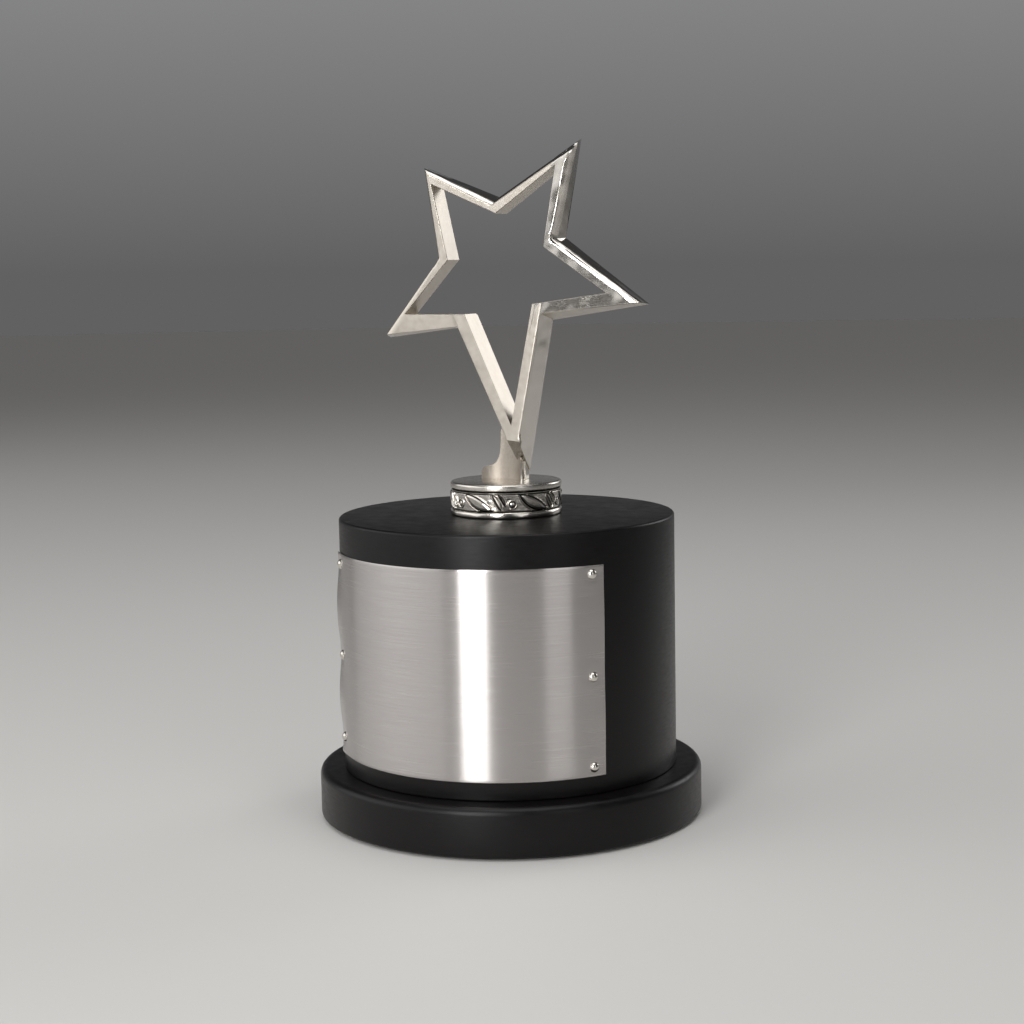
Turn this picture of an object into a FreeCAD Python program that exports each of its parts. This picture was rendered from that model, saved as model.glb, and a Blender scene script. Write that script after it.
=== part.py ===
import FreeCAD, Part
import Sketcher
import math
import os
from FreeCAD import Placement, Rotation, Vector

# Star trophy: a hollow cast star on a leaf collar, bolted down through a turned wooden drum
# and foot disc.  Millimetres, +Z up, origin at the centre of the resting face, the front is -Y.

DIMENSIONS = [
    # foot disc and felt
    ("felt_inset", 3.0),
    ("felt_thickness", 1.0),
    ("foot_overhang", 9.0),
    ("foot_height", 17.0),
    ("foot_top_round", 2.6),
    ("foot_bottom_round", 1.0),
    # drum
    ("drum_diameter", 120.0),
    ("drum_height", 90.0),
    ("drum_top_round", 1.0),
    ("drum_bottom_round", 0.6),
    # name plate, wrapped round the front of the drum
    ("plate_width", 118.2),
    ("plate_height", 72.0),
    ("plate_thickness", 0.5),
    ("plate_lift", 6.5),
    ("plate_corner_round", 0.8),
    # dome-headed nails
    ("nail_head_diameter", 3.6),
    ("nail_head_height", 1.2),
    ("nail_shank_diameter", 1.2),
    ("nail_length", 9.0),
    ("nail_side_inset", 4.3),
    ("nail_left_top_drop", 3.8),
    ("nail_left_middle_drop", 36.3),
    ("nail_left_bottom_drop", 65.9),
    ("nail_right_top_drop", 3.1),
    ("nail_right_middle_drop", 38.0),
    ("nail_right_bottom_drop", 68.9),
    ("nail_hole_clearance", 0.1),
    ("nail_hole_past_tip", 1.0),
    # leaf collar and its cap
    ("collar_diameter", 40.0),
    ("collar_height", 9.7),
    ("collar_wall", 3.0),
    ("collar_rim_height", 1.7),
    ("collar_rim_bevel", 0.4),
    ("collar_frieze_depth", 0.9),
    ("collar_groove_height", 0.7),
    ("collar_groove_depth", 1.3),
    ("cap_setback", 0.1),
    ("cap_thickness", 2.3),
    ("cap_edge_round", 0.9),
    ("cap_boss_diameter", 16.0),
    ("cap_boss_height", 7.0),
    ("cap_thread_roof", 2.4),
    # tie rod, nut and washer
    ("rod_diameter", 6.0),
    ("rod_hole_clearance", 0.4),
    ("rod_end_gap", 0.5),
    ("rod_past_nut", 1.5),
    ("nut_across_flats", 10.0),
    ("nut_height", 5.0),
    ("washer_diameter", 18.0),
    ("washer_thickness", 1.6),
    ("counterbore_diameter", 22.0),
    ("counterbore_depth", 9.0),
    # wood screws that hold the foot to the drum
    ("screw_circle_diameter", 76.0),
    ("screw_head_diameter", 8.0),
    ("screw_shank_diameter", 4.0),
    ("screw_length", 35.0),
    ("screw_point_length", 4.0),
    ("screw_head_land", 0.4),
    ("screw_hole_past_tip", 1.0),
    ("screw_hole_clearance", 0.2),
    # star casting
    ("star_depth", 10.5),
    ("star_side_offset", 1.0),
    ("star_centre_rise", 75.2),
    # curved web under the star, and the block below its bottom tip
    ("web_radius", 11.0),
    ("web_thickness", 3.2),
    ("web_centre_offset", -2.8),
    ("web_bite", 1.25),
    ("web_left_reach", 10.1),
    ("web_toe_height", 2.6),
    ("web_shoulder_reach", 8.2),
    ("web_shoulder_height", 4.5),
    ("web_waist_reach", 3.5),
    ("web_waist_height", 14.2),
    ("web_height", 19.0),
    ("web_top_reach", 3.0),
    ("web_top_slope", 1.0),
    ("web_toe_drop", 0.5),
    ("web_heel_setback", 0.8),
    ("heel_left", 5.0),
    ("heel_right", 6.9),
    ("heel_front", 2.0),
    ("heel_height", 7.0),
    # cast spigot under the web
    ("spigot_diameter", 3.0),
    ("spigot_length", 4.0),
    ("spigot_side_offset", -3.4),
    ("spigot_clearance", 0.05),
    ("spigot_end_gap", 0.5),
    # how far a cutting shape or a joined shape runs past the face it goes through
    ("run_past", 1.0),
]

# Corners of the opening: direction in degrees from +X round the star's centre, and radius.
OPENING = [
    ("right_tip", 347.2, 41.0),
    ("right_notch", 22.5, 18.4),
    ("upper_right_tip", 57.8, 41.1),
    ("top_notch", 92.3, 18.9),
    ("upper_left_tip", 130.7, 39.2),
    ("left_notch", 171.0, 20.0),
    ("left_tip", 203.2, 40.3),
    ("lower_left_notch", 230.0, 21.0),
    ("bottom_tip", 273.9, 55.6),
    ("lower_right_notch", 315.2, 17.8),
]

# Corners of the outline: angle and radius in the front face, then in the back face.
OUTLINE = [
    ("right_tip", 346.5, 53.8, 345.7, 54.4),
    ("right_notch", 24.4, 23.4, 25.1, 23.9),
    ("upper_right_tip", 54.4, 52.3, 57.6, 52.3),
    ("top_notch", 95.0, 23.0, 98.0, 25.2),
    ("upper_left_tip", 128.8, 45.6, 131.0, 47.6),
    ("left_notch", 171.0, 24.1, 171.0, 24.7),
    ("left_tip", 207.5, 50.4, 207.0, 54.2),
    ("lower_left_notch", 231.1, 26.2, 229.8, 27.4),
    ("bottom_left_end", 271.9, 60.6, 272.6, 72.2),
    ("bottom_right_end", 276.2, 61.4, 274.9, 72.6),
    ("lower_right_notch", 314.2, 22.4, 311.0, 24.6),
]

SIDES = {"left": -1, "right": 1}
SCREWS = 3
# Corners of a nail's dome: share of the head's height and share of its radius.
NAIL_DOME = ((0.45, 0.86), (0.82, 0.52))
# The web's hollow edge: number of straight steps, and the power of its superellipse.
HOLLOW_STEPS = 5
HOLLOW_POWER = 0.8
# Starting turn of an axis that an expression then sets.
SOME_TURN = 10
# Lengths closer than this, in mm, count as equal.
TOLERANCE = 1e-4

# Radii and places that several pieces share, as expressions on the sheet.
DRUM_RADIUS = "(sheet.drum_diameter / 2)"
FOOT_RADIUS = "(%s + sheet.foot_overhang)" % DRUM_RADIUS
FELT_DIAMETER = "(2 * (%s - sheet.felt_inset))" % FOOT_RADIUS
COLLAR_RADIUS = "(sheet.collar_diameter / 2)"
CAP_RADIUS = "(%s - sheet.cap_setback)" % COLLAR_RADIUS
ROD_HOLE = "(sheet.rod_diameter + 2 * sheet.rod_hole_clearance)"
WEB_SETBACK = "(sheet.star_depth / 2 - sheet.web_bite)"
SPIGOT_SETBACK = "(%s + sheet.web_thickness / 2)" % WEB_SETBACK

# Heights of the stacked pieces, as expressions on the sheet.
FOOT_BASE = "sheet.felt_thickness"
DRUM_BASE = "(sheet.felt_thickness + sheet.foot_height)"
DRUM_TOP = "(%s + sheet.drum_height)" % DRUM_BASE
COLLAR_TOP = "(%s + sheet.collar_height)" % DRUM_TOP
CAP_TOP = "(%s + sheet.cap_thickness)" % COLLAR_TOP
PLATE_BASE = "(%s + sheet.plate_lift)" % DRUM_BASE
PLATE_TOP = "(%s + sheet.plate_height)" % PLATE_BASE
WASHER_BASE = "(%s + sheet.counterbore_depth - sheet.washer_thickness)" % FOOT_BASE
NUT_BASE = "(%s - sheet.nut_height)" % WASHER_BASE
ROD_BASE = "(%s - sheet.rod_past_nut)" % NUT_BASE
THREAD_TOP = "(%s - sheet.cap_thread_roof)" % CAP_TOP
ROD_TOP = "(%s - sheet.rod_end_gap)" % THREAD_TOP
STAR_CENTRE = "(%s + sheet.star_centre_rise)" % CAP_TOP
PLATE_MID_RADIUS = "(%s + sheet.plate_thickness / 2)" % DRUM_RADIUS
NAIL_ANGLE = "((sheet.plate_width / 2 - sheet.nail_side_inset) / %s * 180 / pi)" % PLATE_MID_RADIUS
NAIL_ROWS = ("top", "middle", "bottom")

doc = FreeCAD.newDocument("star_trophy")
sheet = doc.addObject("Spreadsheet::Sheet", "sheet")


def fill_sheet():
    """Write one row per driving dimension: its name in column A, its value in column B."""
    rows = list(DIMENSIONS)
    for corner, angle, radius in OPENING:
        rows.append(("opening_%s_angle" % corner, angle))
        rows.append(("opening_%s_radius" % corner, radius))
    for corner, front_angle, front_radius, back_angle, back_radius in OUTLINE:
        rows.append(("front_%s_angle" % corner, front_angle))
        rows.append(("front_%s_radius" % corner, front_radius))
        rows.append(("back_%s_angle" % corner, back_angle))
        rows.append(("back_%s_radius" % corner, back_radius))
    for row, (alias, value) in enumerate(rows, start=1):
        sheet.set("A%d" % row, alias)
        sheet.set("B%d" % row, str(value))
        sheet.setAlias("B%d" % row, alias)
    doc.recompute()


def bind(item, expressions):
    for prop, expression in expressions.items():
        item.setExpression(prop, expression)
    return item


def new_body(label):
    body = doc.addObject("PartDesign::Body", label)
    body.Label = label
    return body


def new_sketch(body, name, role, setback=None):
    """A sketch on one of the body's origin planes, moved along its normal by an expression."""
    sketch = body.newObject("Sketcher::SketchObject", name)
    plane = [f for f in body.Origin.OriginFeatures if f.Role == role][0]
    sketch.AttachmentSupport = [(plane, "")]
    sketch.MapMode = "FlatFace"
    if setback:
        bind(sketch, {"AttachmentOffset.Base.z": setback})
    doc.recompute()
    return sketch


def value_of(expression):
    return float(sheet.evalExpression(expression.replace("sheet.", "")))


def pin(sketch, geometry, end, x, y):
    """Tie one point of a sketch to two expressions, measured from the sketch's origin."""
    for kind, expression in (("DistanceX", x), ("DistanceY", y)):
        constraint = Sketcher.Constraint(kind, -1, 1, geometry, end, value_of(expression))
        index = sketch.addConstraint(constraint)
        sketch.setExpression("Constraints[%d]" % index, expression)


def draw_polygon(sketch, corners):
    """A closed outline of straight lines through corners given as pairs of expressions."""
    points = [Vector(value_of(x), value_of(y), 0) for x, y in corners]
    count = len(points)
    lines = [Part.LineSegment(points[k], points[(k + 1) % count]) for k in range(count)]
    first = sketch.addGeometry(lines, False)[0]
    for k in range(count):
        following = first + (k + 1) % count
        sketch.addConstraint(Sketcher.Constraint("Coincident", first + k, 2, following, 1))
        pin(sketch, first + k, 1, *corners[k])
    return sketch


def draw_circle(sketch, x, y, diameter):
    centre = Vector(value_of(x), value_of(y), 0)
    circle = Part.Circle(centre, Vector(0, 0, 1), value_of(diameter) / 2)
    index = sketch.addGeometry(circle, False)
    pin(sketch, index, 3, x, y)
    size = sketch.addConstraint(Sketcher.Constraint("Diameter", index, value_of(diameter)))
    sketch.setExpression("Constraints[%d]" % size, diameter)
    return sketch


def add_pad(body, name, sketch, length):
    pad = body.newObject("PartDesign::Pad", name)
    pad.Profile = sketch
    bind(pad, {"Length": length})
    doc.recompute()
    return pad


def add_pocket(body, name, sketch, length, reverse=False):
    """Cut a sketch into the body, and refuse a cut that removes nothing."""
    before = body.Shape.Volume
    pocket = body.newObject("PartDesign::Pocket", name)
    pocket.Profile = sketch
    pocket.Reversed = reverse
    bind(pocket, {"Length": length})
    doc.recompute()
    assert body.Shape.Volume < before - TOLERANCE, "%s cuts nothing" % name
    return pocket


def add_turned(body, name, corners, axis="V_Axis", role="XZ_Plane"):
    """Revolve a polygon, drawn in a plane through the axis, by a full turn."""
    sketch = draw_polygon(new_sketch(body, name + "_profile", role), corners)
    turned = body.newObject("PartDesign::Revolution", name)
    turned.Profile = sketch
    turned.ReferenceAxis = (sketch, [axis])
    turned.Angle = 360
    doc.recompute()
    return turned


def add_round(body, name, feature, radius, wanted):
    """Fillet the edges of a feature that the test picks out."""
    edges = ["Edge%d" % (k + 1) for k, edge in enumerate(feature.Shape.Edges) if wanted(edge)]
    assert edges, "%s finds no edge" % name
    fillet = body.newObject("PartDesign::Fillet", name)
    fillet.Base = (feature, edges)
    bind(fillet, {"Radius": radius})
    doc.recompute()
    return fillet


def ring_edge(radius, height):
    """Test for a full circle of one radius at one height."""
    def wanted(edge):
        box = edge.BoundBox
        flat = box.ZLength < TOLERANCE and abs(box.ZMin - value_of(height)) < TOLERANCE
        return flat and abs(box.XLength / 2 - value_of(radius)) < TOLERANCE
    return wanted


def repeat_round_axis(body, name, features, count):
    pattern = body.newObject("PartDesign::PolarPattern", name)
    pattern.Originals = features
    axis = [f for f in body.Origin.OriginFeatures if f.Role == "Z_Axis"][0]
    pattern.Axis = (axis, [""])
    pattern.Angle = 360
    pattern.Occurrences = count
    body.Tip = pattern
    doc.recompute()
    return pattern


def nail_height(side, row):
    """Each nail was driven by eye, so each has its own drop below the plate's top edge."""
    return "(%s - sheet.nail_%s_%s_drop)" % (PLATE_TOP, side, row)


def add_nail_holes(body, depth, clearance):
    """Radial holes for the nails, sunk from just outside the plate towards the drum's axis."""
    outside = "(%s + sheet.plate_thickness + sheet.run_past)" % DRUM_RADIUS
    for side, sign in SIDES.items():
        sketch = new_sketch(body, "nail_holes_" + side, "XZ_Plane")
        turn = "%d * %s" % (sign, NAIL_ANGLE)
        sketch.AttachmentOffset = Placement(Vector(), Rotation(Vector(0, 1, 0), SOME_TURN))
        bind(sketch, {
            "AttachmentOffset.Rotation.Angle": turn,
            "AttachmentOffset.Base.x": "%s * sin(%s)" % (outside, turn),
            "AttachmentOffset.Base.z": "%s * cos(%s)" % (outside, turn),
        })
        doc.recompute()
        for row in NAIL_ROWS:
            diameter = "sheet.nail_shank_diameter + 2 * %s" % clearance
            draw_circle(sketch, "0", nail_height(side, row), diameter)
        doc.recompute()
        add_pocket(body, "nail_pocket_" + side, sketch, "%s + sheet.run_past" % depth)


def make_felt_pad():
    body = new_body("felt_pad")
    sketch = draw_circle(new_sketch(body, "felt_circle", "XY_Plane"), "0", "0", FELT_DIAMETER)
    add_pad(body, "felt", sketch, "sheet.felt_thickness")
    return body


def screw_profile(clearance, base):
    """Half section of a countersunk screw, from the axis outwards, pointing up from the base."""
    head = "(sheet.screw_head_diameter / 2 + %s)" % clearance
    shank = "(sheet.screw_shank_diameter / 2 + %s)" % clearance
    land = "(%s + sheet.screw_head_land)" % base
    taper = "(sheet.screw_head_diameter - sheet.screw_shank_diameter) / 2"
    cone = "(%s + sheet.screw_hole_clearance + %s)" % (land, taper)
    return head, shank, land, cone


def make_foot_disc():
    body = new_body("foot_disc")
    sketch = new_sketch(body, "foot_circle", "XY_Plane", FOOT_BASE)
    draw_circle(sketch, "0", "0", "2 * %s" % FOOT_RADIUS)
    pad = add_pad(body, "foot_blank", sketch, "sheet.foot_height")
    top = ring_edge(FOOT_RADIUS, DRUM_BASE)
    rounded = add_round(body, "foot_top_edge", pad, "sheet.foot_top_round", top)
    bottom = ring_edge(FOOT_RADIUS, FOOT_BASE)
    add_round(body, "foot_bottom_edge", rounded, "sheet.foot_bottom_round", bottom)
    sketch = new_sketch(body, "rod_hole_circle", "XY_Plane", FOOT_BASE)
    draw_circle(sketch, "0", "0", ROD_HOLE)
    add_pocket(body, "rod_hole", sketch, "sheet.foot_height", reverse=True)
    sketch = new_sketch(body, "counterbore_circle", "XY_Plane", FOOT_BASE)
    draw_circle(sketch, "0", "0", "sheet.counterbore_diameter")
    add_pocket(body, "counterbore", sketch, "sheet.counterbore_depth", reverse=True)
    add_screw_groove(body)
    return body


def add_screw_groove(body):
    """Three countersunk clearance holes, each turned about its own upright axis."""
    head, shank, land, cone = screw_profile("sheet.screw_hole_clearance", FOOT_BASE)
    radius = "sheet.screw_circle_diameter / 2"
    sketch = new_sketch(body, "screw_hole_profile", "XZ_Plane")
    corners = [
        (radius, FOOT_BASE),
        ("%s + %s" % (radius, head), FOOT_BASE),
        ("%s + %s" % (radius, head), "%s + sheet.screw_hole_clearance" % land),
        ("%s + %s" % (radius, shank), cone),
        ("%s + %s" % (radius, shank), DRUM_BASE),
        (radius, DRUM_BASE),
    ]
    draw_polygon(sketch, corners)
    doc.recompute()
    before = body.Shape.Volume
    groove = body.newObject("PartDesign::Groove", "screw_hole")
    groove.Profile = sketch
    groove.ReferenceAxis = (sketch, ["Edge6"])
    groove.Angle = 360
    doc.recompute()
    assert body.Shape.Volume < before - TOLERANCE, "screw hole cuts nothing"
    repeat_round_axis(body, "screw_holes", [groove], SCREWS)


def make_drum():
    body = new_body("drum")
    sketch = new_sketch(body, "drum_circle", "XY_Plane", DRUM_BASE)
    draw_circle(sketch, "0", "0", "sheet.drum_diameter")
    pad = add_pad(body, "drum_blank", sketch, "sheet.drum_height")
    top = ring_edge(DRUM_RADIUS, DRUM_TOP)
    rounded = add_round(body, "drum_top_edge", pad, "sheet.drum_top_round", top)
    bottom = ring_edge(DRUM_RADIUS, DRUM_BASE)
    add_round(body, "drum_bottom_edge", rounded, "sheet.drum_bottom_round", bottom)
    sketch = new_sketch(body, "rod_bore_circle", "XY_Plane", DRUM_BASE)
    draw_circle(sketch, "0", "0", ROD_HOLE)
    add_pocket(body, "rod_bore", sketch, "sheet.drum_height", reverse=True)
    add_nail_holes(body, "(sheet.plate_thickness + sheet.nail_length + sheet.nail_hole_past_tip)", "0")
    sketch = new_sketch(body, "screw_pilot_circle", "XY_Plane", DRUM_BASE)
    draw_circle(sketch, "sheet.screw_circle_diameter / 2", "0", "sheet.screw_shank_diameter")
    depth = "sheet.screw_length - sheet.foot_height + sheet.screw_hole_past_tip"
    pilot = add_pocket(body, "screw_pilot", sketch, depth, reverse=True)
    repeat_round_axis(body, "screw_pilots", [pilot], SCREWS)
    return body


def make_name_plate():
    """A thin sheet rolled to the drum: its section swept through the plate's angle."""
    body = new_body("name_plate")
    sketch = new_sketch(body, "plate_section", "YZ_Plane")
    inside = "-" + DRUM_RADIUS
    outside = "-%s - sheet.plate_thickness" % DRUM_RADIUS
    draw_polygon(sketch, [
        (outside, PLATE_BASE), (inside, PLATE_BASE), (inside, PLATE_TOP), (outside, PLATE_TOP),
    ])
    rolled = body.newObject("PartDesign::Revolution", "plate_sheet")
    rolled.Profile = sketch
    rolled.ReferenceAxis = (sketch, ["V_Axis"])
    rolled.Midplane = True
    bind(rolled, {"Angle": "sheet.plate_width / %s * 180 / pi" % PLATE_MID_RADIUS})
    doc.recompute()
    thickness = value_of("sheet.plate_thickness")

    def corner(edge):
        return abs(edge.Length - thickness) < TOLERANCE

    add_round(body, "plate_corners", rolled, "sheet.plate_corner_round", corner)
    add_nail_holes(body, "(sheet.plate_thickness + sheet.run_past)", "sheet.nail_hole_clearance")
    return body


def make_nail(side, sign, row):
    """Dome head and plain shank, turned about a radial axis on the front and swung round."""
    body = new_body("plate_nail_%s_%s" % (row, side))
    seat = "(-%s - sheet.plate_thickness)" % DRUM_RADIUS
    head = "sheet.nail_head_diameter / 2"
    shank = "sheet.nail_shank_diameter / 2"
    tip = "(%s + sheet.plate_thickness + sheet.nail_length)" % seat
    crown = "(%s - sheet.nail_head_height)" % seat
    sketch = new_sketch(body, body.Name + "_profile", "YZ_Plane")
    dome = [("%s - sheet.nail_head_height * %s" % (seat, up), "%s * %s" % (head, out))
            for up, out in NAIL_DOME]
    draw_polygon(sketch, [
        (crown, "0"), (tip, "0"), ("%s - sheet.nail_shank_diameter" % tip, shank),
        (seat, shank), (seat, head),
    ] + dome)
    turned = body.newObject("PartDesign::Revolution", body.Name + "_turned")
    turned.Profile = sketch
    turned.ReferenceAxis = (sketch, ["H_Axis"])
    turned.Angle = 360
    body.Placement = Placement(Vector(), Rotation(Vector(0, 0, 1), SOME_TURN))
    bind(body, {
        "Placement.Rotation.Angle": "%d * %s" % (sign, NAIL_ANGLE),
        "Placement.Base.z": nail_height(side, row),
    })
    doc.recompute()
    return body


def make_leaf_collar():
    """The band that carries the leaf frieze: a foot rim, a sunk frieze and a thin groove."""
    body = new_body("leaf_collar")
    outer = COLLAR_RADIUS
    inner = "(%s - sheet.collar_wall)" % outer
    frieze = "(%s - sheet.collar_frieze_depth)" % outer
    groove = "(%s - sheet.collar_groove_depth)" % outer
    rim_top = "(%s + sheet.collar_rim_height)" % DRUM_TOP
    groove_base = "(%s - sheet.collar_groove_height)" % COLLAR_TOP
    add_turned(body, "collar_band", [
        (inner, DRUM_TOP), (outer, DRUM_TOP), (outer, rim_top),
        (frieze, "%s + sheet.collar_rim_bevel" % rim_top),
        (frieze, groove_base), (groove, groove_base), (groove, COLLAR_TOP), (inner, COLLAR_TOP),
    ])
    return body


def make_collar_cap():
    """Polished disc with a tapped boss underneath and a small socket for the star's spigot."""
    body = new_body("collar_cap")
    outer = CAP_RADIUS
    boss = "sheet.cap_boss_diameter / 2"
    bore = "sheet.rod_diameter / 2"
    boss_base = "(%s - sheet.cap_boss_height)" % COLLAR_TOP
    turned = add_turned(body, "cap_disc", [
        (bore, boss_base), (boss, boss_base), (boss, COLLAR_TOP), (outer, COLLAR_TOP),
        (outer, CAP_TOP), ("0", CAP_TOP), ("0", THREAD_TOP), (bore, THREAD_TOP),
    ])
    edge = ring_edge(outer, CAP_TOP)
    add_round(body, "cap_edge", turned, "sheet.cap_edge_round", edge)
    sketch = new_sketch(body, "spigot_socket_circle", "XY_Plane", CAP_TOP)
    diameter = "sheet.spigot_diameter + 2 * sheet.spigot_clearance"
    draw_circle(sketch, "sheet.spigot_side_offset", SPIGOT_SETBACK, diameter)
    add_pocket(body, "spigot_socket", sketch, "sheet.spigot_length + sheet.spigot_end_gap")
    return body


def make_tie_rod():
    rod = doc.addObject("Part::Cylinder", "tie_rod")
    rod.Label = "tie_rod"
    bind(rod, {
        "Radius": "sheet.rod_diameter / 2",
        "Height": "%s - %s" % (ROD_TOP, ROD_BASE),
        "Placement.Base.z": ROD_BASE,
    })
    return rod


def make_washer():
    disc = doc.addObject("Part::Cylinder", "washer_disc")
    bind(disc, {"Radius": "sheet.washer_diameter / 2", "Height": "sheet.washer_thickness",
                "Placement.Base.z": WASHER_BASE})
    hole = doc.addObject("Part::Cylinder", "washer_hole")
    bind(hole, {"Radius": ROD_HOLE + " / 2",
                "Height": "sheet.washer_thickness", "Placement.Base.z": WASHER_BASE})
    washer = doc.addObject("Part::Cut", "rod_washer")
    washer.Label = "rod_washer"
    washer.Base = disc
    washer.Tool = hole
    return washer


def make_nut():
    hexagon = doc.addObject("Part::Prism", "nut_hexagon")
    hexagon.Polygon = 6
    bind(hexagon, {"Circumradius": "sheet.nut_across_flats / sqrt(3)", "Height": "sheet.nut_height",
                   "Placement.Base.z": NUT_BASE})
    thread = doc.addObject("Part::Cylinder", "nut_thread")
    bind(thread, {"Radius": "sheet.rod_diameter / 2", "Height": "sheet.nut_height",
                  "Placement.Base.z": NUT_BASE})
    nut = doc.addObject("Part::Cut", "rod_nut")
    nut.Label = "rod_nut"
    nut.Base = hexagon
    nut.Tool = thread
    return nut


def make_foot_screw(number):
    """Countersunk wood screw, driven up through the foot into the drum."""
    body = new_body("foot_screw_%d" % number)
    head, shank, land, cone = screw_profile("0", "0")
    shoulder = "(sheet.screw_length - sheet.screw_point_length)"
    add_turned(body, body.Name + "_turned", [
        ("0", "0"), (head, "0"), (head, land), (shank, cone),
        (shank, shoulder), ("0", "sheet.screw_length"),
    ])
    turn = 360.0 * (number - 1) / SCREWS
    radius = "sheet.screw_circle_diameter / 2"
    bind(body, {
        "Placement.Base.x": "%s * cos(%.0f deg)" % (radius, turn),
        "Placement.Base.y": "%s * sin(%.0f deg)" % (radius, turn),
        "Placement.Base.z": FOOT_BASE,
    })
    doc.recompute()
    return body


def star_corner(outline, corner):
    """Place of one corner of a star outline, as a pair of expressions in an upright plane."""
    angle = "sheet.%s_%s_angle * 1deg" % (outline, corner)
    radius = "sheet.%s_%s_radius" % (outline, corner)
    across = "sheet.star_side_offset + %s * cos(%s)" % (radius, angle)
    up = "%s + %s * sin(%s)" % (STAR_CENTRE, radius, angle)
    return across, up


def make_star_body():
    """Front and back outlines lofted together, and the opening cut through."""
    body = new_body("star_body")
    half = "sheet.star_depth / 2"
    front = new_sketch(body, "star_front", "XZ_Plane", half)
    draw_polygon(front, [star_corner("front", row[0]) for row in OUTLINE])
    back = new_sketch(body, "star_back", "XZ_Plane", "-" + half)
    draw_polygon(back, [star_corner("back", row[0]) for row in OUTLINE])
    doc.recompute()
    loft = body.newObject("PartDesign::AdditiveLoft", "star_blank")
    loft.Profile = front
    loft.Sections = [back]
    loft.Ruled = True
    doc.recompute()
    opening = new_sketch(body, "star_opening", "XZ_Plane", half)
    draw_polygon(opening, [star_corner("opening", row[0]) for row in OPENING])
    doc.recompute()
    add_pocket(body, "opening", opening, "sheet.star_depth")
    return body


def make_web_outline():
    """Slab with the web's outline: toe, shoulder, a hollow curve up to the waist, and the top."""
    body = new_body("web_outline")
    behind = "-(%s + sheet.web_thickness)" % WEB_SETBACK
    sketch = new_sketch(body, "web_profile", "XZ_Plane", behind)
    toe = "-sheet.web_left_reach"
    shoulder = "-sheet.web_shoulder_reach"
    waist = "-sheet.web_waist_reach"
    heel = "(sheet.heel_right - sheet.web_heel_setback)"
    drop = "(sheet.web_waist_height - sheet.web_shoulder_height)"
    span = "(sheet.web_shoulder_reach - sheet.web_waist_reach)"

    def above_cap(height):
        return "%s + %s" % (CAP_TOP, height)

    hollow = [("%s + %s * %.3f" % (shoulder, span, across),
               above_cap("sheet.web_shoulder_height + %s * %.3f" % (drop, up)))
              for across, up in quarter_curve(HOLLOW_STEPS, HOLLOW_POWER)]
    draw_polygon(sketch, [
        (toe, CAP_TOP), (heel, CAP_TOP), (heel, above_cap("sheet.heel_height")),
        ("sheet.web_top_reach", above_cap("sheet.web_height")),
        ("%s + sheet.web_top_slope" % waist, above_cap("sheet.web_height")),
        (waist, above_cap("sheet.web_height - 2 * sheet.web_top_slope")),
    ] + hollow[::-1] + [
        ("(%s + %s * 2) / 3" % (shoulder, toe), above_cap("sheet.web_shoulder_height - sheet.web_toe_drop")),
        (toe, above_cap("sheet.web_toe_height")),
    ])
    add_pad(body, "web_slab", sketch, "sheet.web_radius + sheet.web_thickness")
    return body


def quarter_curve(steps, power):
    """Points of a rising quarter of a superellipse, from (0, 0) level to (1, 1) upright."""
    turns = [math.pi / 2 * k / steps for k in range(steps + 1)]
    return [(math.sin(turn) ** power, 1 - math.cos(turn) ** power) for turn in turns]


def make_star_web():
    """Web that carries the star on the cap: its outline, limited to a wall curved in plan."""
    outline = make_web_outline()
    walls = {}
    deep = "(sheet.web_radius + sheet.web_thickness)"
    for name, radius in (("web_outside", deep), ("web_inside", "sheet.web_radius")):
        wall = doc.addObject("Part::Cylinder", name)
        bind(wall, {
            "Radius": radius,
            "Height": "sheet.web_height + 2 * sheet.run_past",
            "Placement.Base.x": "sheet.web_centre_offset",
            "Placement.Base.y": "%s - sheet.web_radius" % WEB_SETBACK,
            "Placement.Base.z": "%s - sheet.run_past" % CAP_TOP,
        })
        walls[name] = wall
    shell = doc.addObject("Part::Cut", "web_wall")
    shell.Base = walls["web_outside"]
    shell.Tool = walls["web_inside"]
    web = doc.addObject("Part::Common", "star_web")
    web.Base = outline
    web.Tool = shell
    doc.recompute()
    return web


def make_star_heel():
    """Small upright block that takes the bottom tip of the star down to the cap."""
    heel = doc.addObject("Part::Box", "star_heel")
    bind(heel, {
        "Length": "sheet.heel_right - sheet.heel_left",
        "Width": "sheet.star_depth / 2 - sheet.heel_front",
        "Height": "sheet.heel_height",
        "Placement.Base.x": "sheet.heel_left",
        "Placement.Base.y": "sheet.heel_front",
        "Placement.Base.z": CAP_TOP,
    })
    return heel


def make_star_figure():
    """One casting: the star, its web and the spigot that goes into the cap."""
    spigot = doc.addObject("Part::Cylinder", "star_spigot")
    bind(spigot, {
        "Radius": "sheet.spigot_diameter / 2",
        "Height": "sheet.spigot_length + sheet.run_past",
        "Placement.Base.x": "sheet.spigot_side_offset",
        "Placement.Base.y": SPIGOT_SETBACK,
        "Placement.Base.z": "%s - sheet.spigot_length" % CAP_TOP,
    })
    figure = doc.addObject("Part::MultiFuse", "star_figure")
    figure.Label = "star_figure"
    figure.Shapes = [make_star_body(), make_star_web(), make_star_heel(), spigot]
    figure.Refine = True
    doc.recompute()
    return figure


def check_and_write(nodes):
    """Stop on any failed feature or bad solid, then write one STEP file per node."""
    doc.recompute()
    for item in doc.Objects:
        assert not {"Invalid", "Error"} & set(item.State), "%s: %s" % (item.Label, item.State)
    os.makedirs("parts", exist_ok=True)
    for node in nodes:
        shape = node.Shape
        assert not shape.isNull() and shape.isValid(), node.Label
        assert len(shape.Solids) == 1, "%s has %d solids" % (node.Label, len(shape.Solids))
    for node in nodes:
        node.Shape.exportStep("parts/%s.step" % node.Label)
        print("%-26s %10.1f mm3" % (node.Label, node.Shape.Volume))


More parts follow.
